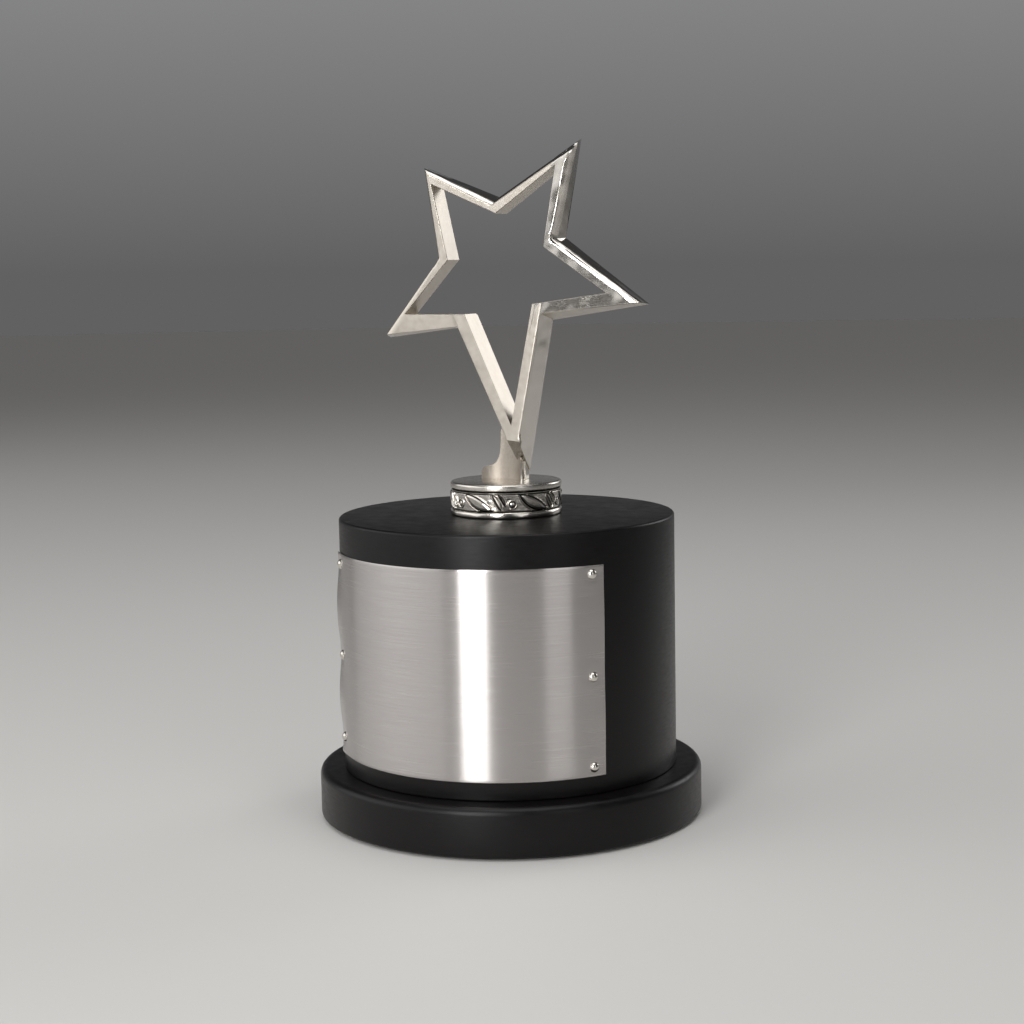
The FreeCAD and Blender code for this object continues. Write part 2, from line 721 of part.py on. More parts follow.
fill_sheet()
parts = [make_felt_pad(), make_foot_disc(), make_drum(), make_name_plate()]
for side, sign in SIDES.items():
    for row in NAIL_ROWS:
        parts.append(make_nail(side, sign, row))
parts += [make_leaf_collar(), make_collar_cap(), make_star_figure()]
parts += [make_tie_rod(), make_washer(), make_nut()]
parts += [make_foot_screw(number) for number in range(1, SCREWS + 1)]
check_and_write(parts)
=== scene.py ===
import math

import bmesh
import bpy
from mathutils import Matrix, Vector, noise


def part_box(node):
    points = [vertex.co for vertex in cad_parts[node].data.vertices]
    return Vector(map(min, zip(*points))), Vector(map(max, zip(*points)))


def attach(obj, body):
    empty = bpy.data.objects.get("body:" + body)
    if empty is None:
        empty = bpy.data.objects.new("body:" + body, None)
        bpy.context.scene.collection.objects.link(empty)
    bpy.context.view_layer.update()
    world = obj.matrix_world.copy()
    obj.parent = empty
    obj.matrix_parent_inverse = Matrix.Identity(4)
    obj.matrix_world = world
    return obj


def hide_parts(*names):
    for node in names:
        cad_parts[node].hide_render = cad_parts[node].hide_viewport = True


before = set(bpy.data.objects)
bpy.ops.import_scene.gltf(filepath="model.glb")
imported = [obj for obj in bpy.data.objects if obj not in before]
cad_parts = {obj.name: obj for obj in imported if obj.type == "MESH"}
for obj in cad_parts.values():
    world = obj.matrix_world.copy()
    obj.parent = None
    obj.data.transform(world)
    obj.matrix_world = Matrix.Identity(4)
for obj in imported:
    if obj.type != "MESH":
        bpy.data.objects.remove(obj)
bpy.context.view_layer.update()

MM = 0.001
TURN_STEPS = 192
ROUND_STEPS = 6
# Points nearer than MERGE_REACH are one point; a point nearer than TOUCH to a plane lies on it.
MERGE_REACH = 0.001 * MM
TOUCH = 0.01 * MM

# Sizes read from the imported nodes, in metres.
FOOT_LOW, FOOT_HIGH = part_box("foot_disc")
DRUM_LOW, DRUM_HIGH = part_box("drum")
COLLAR_LOW, COLLAR_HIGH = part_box("leaf_collar")
CAP_LOW, CAP_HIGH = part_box("collar_cap")
PLATE_LOW, PLATE_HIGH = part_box("name_plate")
FELT_LOW, FELT_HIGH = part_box("felt_pad")
ROD_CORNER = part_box("tie_rod")[1]
WASHER_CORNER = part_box("rod_washer")[1]
STAR_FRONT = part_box("star_figure")[0].y
STAR_BACK = -STAR_FRONT

FOOT_RADIUS = FOOT_HIGH.x
DRUM_RADIUS = DRUM_HIGH.x
COLLAR_RADIUS = COLLAR_HIGH.x
CAP_RADIUS = CAP_HIGH.x
CAP_TOP = CAP_HIGH.z
FELT_RADIUS = FELT_HIGH.x
PLATE_RADIUS = -PLATE_LOW.y
PLATE_HALF_ANGLE = math.asin(PLATE_HIGH.x / PLATE_RADIUS)
ROD_HOLE_RADIUS = ROD_CORNER.x + 0.4 * MM
WASHER_HOLE_RADIUS = WASHER_CORNER.x + 2.0 * MM
WASHER_HOLE_TOP = WASHER_CORNER.z


# ---------------------------------------------------------------- materials

# Sockets of a colour mix that have no name of their own.
MIX_FIRST, MIX_SECOND, MIX_RESULT = 6, 7, 2
# A noise pattern stays mostly between these, so a finish is spread over them.
PATTERN_LOW, PATTERN_HIGH = 0.3, 0.7
# Below the collar's widest radius: where buffed metal ends, where the black is whole, and the
# depth by which mottling moves both.
BUFFED_DEPTH, BLACK_DEPTH, MOTTLE_DEPTH = 0.5 * MM, 0.72 * MM, 0.12 * MM


def srgb(code):
    """Linear colour from an sRGB hex code."""
    channels = [int(code[k:k + 2], 16) / 255 for k in (1, 3, 5)]
    linear = [c / 12.92 if c <= 0.04045 else ((c + 0.055) / 1.055) ** 2.4 for c in channels]
    return (*linear, 1.0)


def add_node(tree, kind, inputs=None, links=None, **options):
    """One node with its options, its input values and the sockets that feed it."""
    node = tree.nodes.new(kind)
    for name, value in options.items():
        setattr(node, name, value)
    for name, value in (inputs or {}).items():
        node.inputs[name].default_value = value
    for name, socket in (links or {}).items():
        tree.links.new(socket, node.inputs[name])
    return node


def new_finish(name, colour, metallic, roughness, **sockets):
    """A material with one Principled shader; returns it, its node tree and the shader."""
    material = bpy.data.materials.new(name)
    material.use_nodes = True
    tree = material.node_tree
    shader = tree.nodes["Principled BSDF"]
    shader.inputs["Base Color"].default_value = srgb(colour)
    shader.inputs["Metallic"].default_value = metallic
    shader.inputs["Roughness"].default_value = roughness
    for socket, value in sockets.items():
        shader.inputs[socket.replace("_", " ")].default_value = value
    return material, tree, shader


def pattern_place(tree, per_mm=(1.0, 1.0, 1.0)):
    """Object coordinates scaled to per_mm pattern features in a millimetre of each axis."""
    place = add_node(tree, "ShaderNodeTexCoord")
    scaled = add_node(tree, "ShaderNodeMapping", {"Scale": [count / MM for count in per_mm]},
                      {"Vector": place.outputs["Object"]})
    return scaled.outputs["Vector"]


def axis_distance(tree):
    """Distance from the upright axis, in metres."""
    place = add_node(tree, "ShaderNodeTexCoord")
    flat = add_node(tree, "ShaderNodeMapping", {"Scale": (1.0, 1.0, 0.0)},
                    {"Vector": place.outputs["Object"]})
    reach = add_node(tree, "ShaderNodeVectorMath", links={0: flat.outputs["Vector"]},
                     operation="LENGTH")
    return reach.outputs["Value"]


def uneven_finish(tree, shader, pattern, dark, light, smooth, rough):
    """Let the middle of a pattern's range tint the colour and change the roughness."""
    level = add_node(tree, "ShaderNodeMapRange",
                     {"From Min": PATTERN_LOW, "From Max": PATTERN_HIGH}, {"Value": pattern})
    colour = add_node(tree, "ShaderNodeMix", {MIX_FIRST: srgb(dark), MIX_SECOND: srgb(light)},
                      {"Factor": level.outputs["Result"]}, data_type="RGBA")
    sheen = add_node(tree, "ShaderNodeMapRange", {"To Min": smooth, "To Max": rough},
                     {"Value": level.outputs["Result"]})
    tree.links.new(colour.outputs[MIX_RESULT], shader.inputs["Base Color"])
    tree.links.new(sheen.outputs["Result"], shader.inputs["Roughness"])


def satin_nickel():
    """Nickel plate over a casting that was blasted and brushed by hand.

    That leaves a soft warm grey with a slightly cloudy sheen: clouds 2 mm across, and waves 8 mm
    long where the hand pressed. The blasted pits are 0.05 mm across; they are drawn at 0.2 mm,
    because the real ones are too fine to show.
    """
    material, tree, shader = new_finish("satin_nickel", "#c9c1b6", metallic=1.0, roughness=0.34)
    where = pattern_place(tree)
    cloud = add_node(tree, "ShaderNodeTexNoise", {"Scale": 0.5, "Detail": 4.0}, {"Vector": where})
    swell = add_node(tree, "ShaderNodeTexNoise", {"Scale": 0.12, "Detail": 2.0}, {"Vector": where})
    pits = add_node(tree, "ShaderNodeTexNoise", {"Scale": 5.0, "Detail": 4.0, "Roughness": 0.6},
                    {"Vector": where})
    uneven_finish(tree, shader, cloud.outputs["Fac"], dark="#c4bcb0", light="#cdc6bc",
                  smooth=0.32, rough=0.37)
    waves = add_node(tree, "ShaderNodeBump", {"Distance": 0.14 * MM},
                     {"Height": swell.outputs["Fac"]})
    skin = add_node(tree, "ShaderNodeBump", {"Distance": 0.008 * MM},
                    {"Height": pits.outputs["Fac"], "Normal": waves.outputs["Normal"]})
    tree.links.new(skin.outputs["Normal"], shader.inputs["Normal"])
    return material


def cast_nickel():
    """Nickel plate over the sand-cast skin, which the polisher can't reach: grainy and dull.

    Casting sand is 0.2 to 0.3 mm across, and the grain is that size.
    """
    material, tree, shader = new_finish("cast_nickel", "#a89e93", metallic=1.0, roughness=0.5)
    where = pattern_place(tree)
    sand = add_node(tree, "ShaderNodeTexNoise", {"Scale": 3.6, "Detail": 4.0, "Roughness": 0.7},
                    {"Vector": where})
    uneven_finish(tree, shader, sand.outputs["Fac"], dark="#8f867b", light="#c2bab0",
                  smooth=0.42, rough=0.55)
    skin = add_node(tree, "ShaderNodeBump", {"Distance": 0.035 * MM},
                    {"Height": sand.outputs["Fac"]})
    tree.links.new(skin.outputs["Normal"], shader.inputs["Normal"])
    return material


def polished_nickel(name, smooth, rough, waves_per_mm, wave_mm, speck_mm):
    """Nickel plate buffed on a mop: near mirror, with the soft waves, 3 to 8 mm long, of hand work.

    wave_mm and speck_mm are the heights of the waves and of the specks in the plating. Specks are
    0.1 mm across; they are drawn at 0.3 mm, because the real ones are too fine to show.
    """
    material, tree, shader = new_finish(name, "#d6d1c9", metallic=1.0, roughness=0.12)
    where = pattern_place(tree)
    ripple = add_node(tree, "ShaderNodeTexNoise", {"Scale": waves_per_mm, "Detail": 1.0},
                      {"Vector": where})
    speck = add_node(tree, "ShaderNodeTexNoise", {"Scale": 3.0, "Detail": 5.0, "Roughness": 0.65},
                     {"Vector": where})
    uneven_finish(tree, shader, speck.outputs["Fac"], dark="#cfc9c0", light="#dcd8d1",
                  smooth=smooth, rough=rough)
    waves = add_node(tree, "ShaderNodeBump", {"Distance": wave_mm * MM},
                     {"Height": ripple.outputs["Fac"]})
    skin = add_node(tree, "ShaderNodeBump", {"Distance": speck_mm * MM},
                    {"Height": speck.outputs["Fac"], "Normal": waves.outputs["Normal"]})
    tree.links.new(skin.outputs["Normal"], shader.inputs["Normal"])
    return material


def antiqued_nickel():
    """Nickel blackened all over and then buffed: bright relief, black left in the recesses.

    The black is whole from about 0.7 mm below the collar's widest radius and gone above 0.5 mm.
    Its border is mottled in patches 0.6 mm across.
    """
    material, tree, shader = new_finish("antiqued_nickel", "#cfcac2", metallic=1.0, roughness=0.2)
    where = pattern_place(tree)
    mottle = add_node(tree, "ShaderNodeTexNoise", {"Scale": 1.6, "Detail": 4.0, "Roughness": 0.6},
                      {"Vector": where})
    border = add_node(tree, "ShaderNodeMath", {1: MOTTLE_DEPTH, 2: -COLLAR_RADIUS},
                      {0: mottle.outputs["Fac"]}, operation="MULTIPLY_ADD")
    level = add_node(tree, "ShaderNodeMath", operation="ADD",
                     links={0: axis_distance(tree), 1: border.outputs["Value"]})
    clean = add_node(tree, "ShaderNodeMapRange",
                     {"From Min": -BLACK_DEPTH, "From Max": -BUFFED_DEPTH},
                     {"Value": level.outputs["Value"]}, interpolation_type="SMOOTHSTEP")
    colour = add_node(tree, "ShaderNodeMix",
                      {MIX_FIRST: srgb("#14120f"), MIX_SECOND: srgb("#d3cec6")},
                      {"Factor": clean.outputs["Result"]}, data_type="RGBA")
    sheen = add_node(tree, "ShaderNodeMapRange", {"To Min": 0.55, "To Max": 0.16},
                     {"Value": clean.outputs["Result"]})
    skin = add_node(tree, "ShaderNodeBump", {"Distance": 0.04 * MM},
                    {"Height": mottle.outputs["Fac"]})
    tree.links.new(colour.outputs[MIX_RESULT], shader.inputs["Base Color"])
    tree.links.new(sheen.outputs["Result"], shader.inputs["Roughness"])
    tree.links.new(skin.outputs["Normal"], shader.inputs["Normal"])
    return material


def black_lacquer():
    """Satin black lacquer sprayed on turned wood: turning marks 0.9 mm apart show faintly through.

    Rubbing down leaves level scratches 0.1 mm high; they are drawn at 0.8 mm to show at all.
    """
    material, tree, shader = new_finish("black_lacquer", "#0a0808", metallic=0.0, roughness=0.36,
                                        IOR=1.45, Specular_IOR_Level=0.3)
    turning = add_node(tree, "ShaderNodeMath", {1: 1.1 / MM}, {0: axis_distance(tree)},
                       operation="MULTIPLY")
    marks = add_node(tree, "ShaderNodeTexNoise", {"Scale": 1.0, "Detail": 3.0, "Roughness": 0.6},
                     {"W": turning.outputs["Value"]}, noise_dimensions="1D")
    rub = add_node(tree, "ShaderNodeTexNoise", {"Scale": 1.0, "Detail": 3.0, "Roughness": 0.6},
                   {"Vector": pattern_place(tree, (0.22, 0.22, 1.3))})
    uneven_finish(tree, shader, rub.outputs["Fac"], dark="#080606", light="#0c0a0a",
                  smooth=0.31, rough=0.41)
    ringed = add_node(tree, "ShaderNodeBump", {"Distance": 0.012 * MM},
                      {"Height": marks.outputs["Fac"]})
    rubbed = add_node(tree, "ShaderNodeBump", {"Distance": 0.03 * MM},
                      {"Height": rub.outputs["Fac"], "Normal": ringed.outputs["Normal"]})
    tree.links.new(rubbed.outputs["Normal"], shader.inputs["Normal"])
    return material


def brushed_steel():
    """Stainless sheet brushed along its length, so highlights stretch upright across the scratches.

    Scratches are 0.05 mm apart and up to 30 mm long; they are drawn 0.2 mm apart to show at all.
    """
    material, tree, shader = new_finish("brushed_steel", "#c6c1bf", metallic=1.0, roughness=0.25,
                                        Anisotropic=1.0, Anisotropic_Rotation=0.25)
    scratch = add_node(tree, "ShaderNodeTexNoise", {"Scale": 1.0, "Detail": 3.0, "Roughness": 0.7},
                       {"Vector": pattern_place(tree, (0.035, 0.035, 5.0))})
    tangent = add_node(tree, "ShaderNodeTangent", direction_type="RADIAL", axis="Z")
    uneven_finish(tree, shader, scratch.outputs["Fac"], dark="#bdb8b6", light="#cbc7c4",
                  smooth=0.23, rough=0.28)
    skin = add_node(tree, "ShaderNodeBump", {"Distance": 0.0016 * MM},
                    {"Height": scratch.outputs["Fac"]})
    tree.links.new(tangent.outputs["Tangent"], shader.inputs["Tangent"])
    tree.links.new(skin.outputs["Normal"], shader.inputs["Normal"])
    return material


def zinc_steel():
    """Bright zinc plate on rolled steel, as on screws and rod: pale spangles 0.7 mm wide."""
    material, tree, shader = new_finish("zinc_steel", "#b9bcbd", metallic=1.0, roughness=0.35)
    where = pattern_place(tree)
    spangle = add_node(tree, "ShaderNodeTexNoise", {"Scale": 1.5, "Detail": 4.0}, {"Vector": where})
    uneven_finish(tree, shader, spangle.outputs["Fac"], dark="#a3a7a9", light="#c8cac9",
                  smooth=0.26, rough=0.45)
    skin = add_node(tree, "ShaderNodeBump", {"Distance": 0.01 * MM},
                    {"Height": spangle.outputs["Fac"]})
    tree.links.new(skin.outputs["Normal"], shader.inputs["Normal"])
    return material


def black_felt():
    """Pressed wool felt: matt, with fibre clumps 0.25 mm across and a soft sheen at its edge."""
    material, tree, shader = new_finish("black_felt", "#151414", metallic=0.0, roughness=0.95,
                                        Sheen_Weight=0.5)
    where = pattern_place(tree)
    fibre = add_node(tree, "ShaderNodeTexNoise", {"Scale": 4.0, "Detail": 6.0, "Roughness": 0.7},
                     {"Vector": where})
    uneven_finish(tree, shader, fibre.outputs["Fac"], dark="#0d0c0c", light="#262424",
                  smooth=0.9, rough=1.0)
    nap = add_node(tree, "ShaderNodeBump", {"Distance": 0.12 * MM},
                   {"Height": fibre.outputs["Fac"]})
    tree.links.new(nap.outputs["Normal"], shader.inputs["Normal"])
    return material


# ---------------------------------------------------------------- mesh tools

def smooth_step(value, low, high):
    """0 below low, 1 above high, and an S-shaped rise between them."""
    t = min(max((value - low) / (high - low), 0.0), 1.0)
    return t * t * (3 - 2 * t)


def finish_piece(name, mesh, materials, node_names):
    """Link a mesh as a piece of the object that stands for CAD nodes."""
    piece = bpy.data.objects.new(name, mesh)
    bpy.context.scene.collection.objects.link(piece)
    for material in materials:
        mesh.materials.append(material)
    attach(piece, "root")
    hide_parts(*node_names)
    return piece


def to_mesh(name, bm, sharp_degrees=30.0):
    """Turn a bmesh into a mesh with smooth faces and sharp edges above an angle."""
    bmesh.ops.recalc_face_normals(bm, faces=bm.faces)
    for face in bm.faces:
        face.smooth = True
    for edge in bm.edges:
        edge.smooth = (not edge.is_manifold
                       or edge.calc_face_angle(0.0) < math.radians(sharp_degrees))
    mesh = bpy.data.meshes.new(name)
    bm.to_mesh(mesh)
    bm.free()
    return mesh


def turned_bmesh(profile, rounds=(), steps=TURN_STEPS):
    """Solid turned about the upright axis from a closed half section with rounded corners.

    profile holds (radius, height) corners in metres, rounds the radius of each corner or 0.
    """
    bm = bmesh.new()
    corners = [bm.verts.new((radius, 0.0, height)) for radius, height in profile]
    for k, corner in enumerate(corners):
        bm.edges.new((corner, corners[(k + 1) % len(corners)]))
    for corner, size in zip(corners, rounds):
        if size:
            bmesh.ops.bevel(bm, geom=[corner], offset=size, offset_type="OFFSET",
                            segments=ROUND_STEPS, profile=0.5, affect="VERTICES", material=-1)
    bmesh.ops.spin(bm, geom=bm.verts[:] + bm.edges[:], cent=(0, 0, 0), axis=(0, 0, 1),
                   angle=math.tau, steps=steps, use_merge=True)
    bmesh.ops.remove_doubles(bm, verts=bm.verts, dist=MERGE_REACH)
    loose = [edge for edge in bm.edges if not edge.link_faces]
    bmesh.ops.delete(bm, geom=loose, context="EDGES")
    return bm


# ---------------------------------------------------------------- wooden base

FOOT_LOWER_ROUND, FOOT_UPPER_ROUND = 1.0 * MM, 2.6 * MM
DRUM_LOWER_ROUND, DRUM_UPPER_ROUND = 0.6 * MM, 1.0 * MM
FELT_ROUND = 0.2 * MM


def build_foot(lacquer):
    """Wide disc with a rounded top edge, a rod hole, and a hollow below for washer and nut."""
    low, high = FOOT_LOW.z, FOOT_HIGH.z
    bm = turned_bmesh(
        [(WASHER_HOLE_RADIUS, low), (FOOT_RADIUS, low), (FOOT_RADIUS, high),
         (ROD_HOLE_RADIUS, high), (ROD_HOLE_RADIUS, WASHER_HOLE_TOP),
         (WASHER_HOLE_RADIUS, WASHER_HOLE_TOP)],
        [0, FOOT_LOWER_ROUND, FOOT_UPPER_ROUND, 0, 0, 0])
    finish_piece("foot_turning", to_mesh("foot_turning", bm), [lacquer], ["foot_disc"])


def build_drum(lacquer):
    """Plain cylinder with slightly rounded edges and the rod hole through it."""
    low, high = DRUM_LOW.z, DRUM_HIGH.z
    bm = turned_bmesh(
        [(ROD_HOLE_RADIUS, low), (DRUM_RADIUS, low), (DRUM_RADIUS, high),
         (ROD_HOLE_RADIUS, high)],
        [0, DRUM_LOWER_ROUND, DRUM_UPPER_ROUND, 0])
    finish_piece("drum_turning", to_mesh("drum_turning", bm), [lacquer], ["drum"])


def build_felt(felt):
    """Thin disc with a softly cut edge."""
    low, high = FELT_LOW.z, FELT_HIGH.z
    bm = turned_bmesh([(0.0, low), (FELT_RADIUS, low), (FELT_RADIUS, high), (0.0, high)],
                      [0, FELT_ROUND, FELT_ROUND, 0])
    finish_piece("felt_disc", to_mesh("felt_disc", bm), [felt], ["felt_pad"])


# ---------------------------------------------------------------- name plate and nails

# Columns and rows of the sheet's grid, its wall, and how far it sits below the CAD sheet's face.
SHEET_GRID = (200, 72)
SHEET_WALL = 0.46 * MM
SHEET_SINK = 0.02 * MM
SHEARED_ROUND = 0.1 * MM
# The sheet's ends spring off the drum. For each end: where that starts and would end, as shares
# of the sheet's half width, and how far it stands off at a nail and well away from the nails.
LEFT_SPRING = (0.78, 1.12, 0.25 * MM, 1.75 * MM)
RIGHT_SPRING = (0.88, 1.08, 0.05 * MM, 0.4 * MM)
NAIL_HOLD_REACH = 9.0 * MM
# A nail dents the sheet and lifts a low rim round the dent.
DENT_DEPTH, DENT_REACH = 0.14 * MM, 2.2 * MM
DENT_RIM, DENT_RIM_REACH = 0.1 * MM, 4.2 * MM

NAIL_RISE = 1.2 * MM
NAIL_SEAT_SHARE, NAIL_SEAT_SINK = 0.97, 0.08 * MM
NAIL_SHANK_RADIUS, NAIL_SHANK_LENGTH, NAIL_LENGTH = 0.6 * MM, 7.5 * MM, 9.0 * MM
NAIL_TURN_STEPS, NAIL_DOME_STEPS = 40, 10


def nail_place(node):
    """Angle round the drum, from the front, and height of a nail."""
    low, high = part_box(node)
    middle = (low + high) / 2
    return math.atan2(middle.x, -middle.y), middle.z


NAIL_PLACES = {node: nail_place(node) for node in sorted(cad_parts)
               if node.startswith("plate_nail")}


def plate_lift(angle, height):
    """How far the sheet stands off the drum at an angle from the front and a height."""
    across = angle / PLATE_HALF_ANGLE
    free = 1.0
    for nail_angle, nail_height in NAIL_PLACES.values():
        if nail_angle * angle > 0:
            free *= 1 - math.exp(-((height - nail_height) / NAIL_HOLD_REACH) ** 2)
    start, end, at_nail, between = LEFT_SPRING if across < 0 else RIGHT_SPRING
    lift = smooth_step(abs(across), start, end) * (at_nail + (between - at_nail) * free)
    for nail_angle, nail_height in NAIL_PLACES.values():
        reach = math.hypot((angle - nail_angle) * DRUM_RADIUS, height - nail_height)
        lift += DENT_RIM * math.exp(-(reach / DENT_RIM_REACH) ** 2)
        lift -= (DENT_DEPTH + lift) * math.exp(-(reach / DENT_REACH) ** 2)
    return max(lift, 0.0)


def build_plate(steel, cut_edge):
    """Flat grid bent round the drum, dented at the nails, then given its thickness."""
    bm = bmesh.new()
    bmesh.ops.create_grid(bm, x_segments=SHEET_GRID[0], y_segments=SHEET_GRID[1], size=1.0)
    for vert in bm.verts:
        angle = vert.co.x * PLATE_HALF_ANGLE
        height = PLATE_LOW.z + (vert.co.y + 1) / 2 * (PLATE_HIGH.z - PLATE_LOW.z)
        radius = PLATE_RADIUS - SHEET_SINK + plate_lift(angle, height)
        vert.co = (radius * math.sin(angle), -radius * math.cos(angle), height)
    bmesh.ops.recalc_face_normals(bm, faces=bm.faces)
    if sum(face.normal.dot(face.calc_center_median() * Vector((1, 1, 0))) for face in bm.faces) < 0:
        bmesh.ops.reverse_faces(bm, faces=bm.faces)
    bmesh.ops.solidify(bm, geom=bm.faces[:], thickness=SHEET_WALL)
    rim = [edge for edge in bm.edges
           if edge.is_manifold and edge.calc_face_angle(0.0) > math.radians(60)]
    bmesh.ops.bevel(bm, geom=rim, offset=SHEARED_ROUND, offset_type="OFFSET", segments=2,
                    profile=0.5, affect="EDGES", material=-1)
    for face in bm.faces:
        outward = (face.calc_center_median() * Vector((1, 1, 0))).normalized()
        face.material_index = 0 if abs(face.normal.dot(outward)) > 0.6 else 1
    finish_piece("plate_sheet", to_mesh("plate_sheet", bm, 40.0), [steel, cut_edge],
                 ["name_plate"])


def build_nails(metal):
    """Low dome heads with a flat seat and a short shank that runs into the drum."""
    for node, (angle, height) in NAIL_PLACES.items():
        low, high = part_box(node)
        head = (high.z - low.z) / 2
        ball = (head ** 2 + NAIL_RISE ** 2) / (2 * NAIL_RISE)
        swings = [math.asin(head / ball) * k / NAIL_DOME_STEPS
                  for k in range(NAIL_DOME_STEPS + 1)]
        dome = [(ball * math.sin(swing), NAIL_RISE - ball + ball * math.cos(swing))
                for swing in swings]
        bm = turned_bmesh(
            dome + [(head * NAIL_SEAT_SHARE, -NAIL_SEAT_SINK), (NAIL_SHANK_RADIUS, -NAIL_SEAT_SINK),
                    (NAIL_SHANK_RADIUS, -NAIL_SHANK_LENGTH), (0.0, -NAIL_LENGTH)],
            steps=NAIL_TURN_STEPS)
        seat = Vector((math.sin(angle), -math.cos(angle), 0.0)) * PLATE_RADIUS
        place = (Matrix.Translation((seat.x, seat.y, height)) @ Matrix.Rotation(angle, 4, "Z")
                 @ Matrix.Rotation(math.pi / 2, 4, "X"))
        bmesh.ops.transform(bm, matrix=place, verts=bm.verts)
        finish_piece(node + "_dome", to_mesh(node + "_dome", bm, 35.0), [metal], [node])


# ---------------------------------------------------------------- collar

# Angles round the collar are from the front, positive to the right; the frieze repeats six times.
FRIEZE_PERIOD = math.radians(60)
BIG_LEAF_ANGLE = math.radians(-6.5)
SMALL_LEAF_ANGLE = math.radians(14.5)
BERRY_ANGLE = math.radians(30.5)
BERRY_DROP = 0.5
# Each leaf's angle, half length, half width, lean, curl, and height above the frieze's middle.
# Lengths are in mm.
LEAVES = (
    (BIG_LEAF_ANGLE, 5.7, 1.75, math.radians(-27), 0.45, 0.1),
    (SMALL_LEAF_ANGLE, 2.9, 0.8, math.radians(-62), -0.35, 0.1),
    (SMALL_LEAF_ANGLE + math.radians(5.2), 2.2, 0.42, math.radians(-60), -0.3, 0.9),
)

# Heights of the relief, from 0 in its deepest cuts to 1 on its beads.
GROUND = 0.55
GROUND_UNEVEN = 0.07
BLADE_EDGE, BLADE_DOME = 0.22, 0.16
BUD_RISE, LEAFLET_RISE = 0.42, 0.4
# Widths in the relief, in mm: the cut line below and above a leaf's middle line, the bead outside
# it, the bud, the ring cut round it, and the two leaflets round that, with the gap between them.
LOWER_CUT, UPPER_CUT = 0.3, 0.2
BEAD_WIDTH = 0.3
BUD_RADIUS, BUD_CURVE, BERRY_CUT_RADIUS = 0.85, 0.95, 1.15
LEAFLET_RADIUS, LEAFLET_WIDTH, LEAFLET_GAP = 1.45, 0.3, 0.35
# A leaf's bead runs past its point by this share of its length, and this share of the cut line's
# width lies outside the blade.
LEAF_REACH, CUT_OUTSIDE = 1.15, 0.6

# Section of the collar in mm, from the bottom up: height above the drum and radius.
LOWER_MOULDING = [
    (0.0, 19.35), (0.15, 19.6), (0.35, 19.82), (0.65, 19.97), (1.0, 20.0), (1.35, 20.0),
    (1.7, 19.95), (2.0, 19.82), (2.25, 19.6), (2.4, 19.3), (2.5, 19.05),
]
FRIEZE_LOW, FRIEZE_HIGH = 2.6, 8.75
UPPER_MOULDING = [
    (8.85, 19.3), (8.95, 19.55), (9.1, 19.55), (9.2, 19.2), (9.25, 18.75), (9.7, 18.7),
]
FRIEZE_FLOOR, FRIEZE_RELIEF, FRIEZE_FADE = 19.1, 0.88, 0.3
FRIEZE_RADIUS = 19.6
COLLAR_WALL = 3.0
COLLAR_COLUMNS, FRIEZE_ROWS = 960, 56
# Unevenness of the casting in mm: of the lower moulding and of everything above it.
LOWER_UNEVEN, UPPER_UNEVEN = 0.22, 0.05

# The cap's boss goes down inside the collar, and the tie rod screws into its bore.
CAP_BORE_DEPTH, CAP_BORE_RADIUS, CAP_BOSS_RADIUS = 6.9 * MM, 3.0 * MM, 8.0 * MM
CAP_LOWER_ROUND, CAP_UPPER_ROUND = 0.35 * MM, 0.9 * MM
# The cap's rim was ground by hand, which leaves it out of round, always inside the CAD rim.
CAP_RIM_START = 10.0 * MM
CAP_UNEVEN, CAP_UNEVEN_MOST, CAP_SWELLS = 0.11 * MM, 0.6, 2.6


def ridge(distance, width):
    """A rounded bead of a given half width, 1 on its line and 0 outside."""
    t = abs(distance) / width
    return math.sqrt(1 - t * t) if t < 1 else 0.0


def round_noise(angle, around, up):
    """Noise on a ring that closes on itself; around is the ring's radius in noise features."""
    return noise.noise(Vector((math.cos(angle) * around, math.sin(angle) * around, up)))


def frieze_offset(angle, middle):
    """Millimetres round the collar from the nearest repeat of a detail."""
    turned = (angle - middle + FRIEZE_PERIOD / 2) % FRIEZE_PERIOD - FRIEZE_PERIOD / 2
    return turned * FRIEZE_RADIUS


def leaf_relief(across, up, length, width, slant, curl):
    """Height of one leaf, 0 to 1: a domed blade inside a deep cut line, with a bead around it.

    across and up are millimetres from the leaf's middle, length and width are half the leaf's own,
    and slant is its lean in radians. Returns None away from the leaf.
    """
    along = across * math.cos(slant) + up * math.sin(slant)
    aside = -across * math.sin(slant) + up * math.cos(slant)
    t = along / length
    if abs(t) > LEAF_REACH:
        return None
    aside += curl * (1 - t * t)
    half = width * (1 - t * t) ** 0.75 if abs(t) < 1 else 0.0
    depth = half - abs(aside)
    cut = LOWER_CUT if aside < 0 else UPPER_CUT
    if depth > cut:
        return GROUND + BLADE_EDGE + BLADE_DOME * smooth_step(depth, cut, cut + 0.4 * width)
    if depth > -cut * CUT_OUTSIDE:
        return 0.0
    bead = ridge(depth + cut * CUT_OUTSIDE + BEAD_WIDTH, BEAD_WIDTH)
    return GROUND + (1 - GROUND) * bead if bead > 0 else None


def berry_relief(across, up):
    """A round bud in a deep ring between two curled leaflets; None away from them."""
    reach = math.hypot(across, up)
    if reach < BUD_RADIUS:
        return GROUND + BUD_RISE * ridge(reach, BUD_CURVE)
    if reach < BERRY_CUT_RADIUS:
        return 0.0
    if reach < LEAFLET_RADIUS + LEAFLET_WIDTH and abs(across) > LEAFLET_GAP:
        return GROUND + LEAFLET_RISE * ridge(reach - LEAFLET_RADIUS, LEAFLET_WIDTH)
    return None


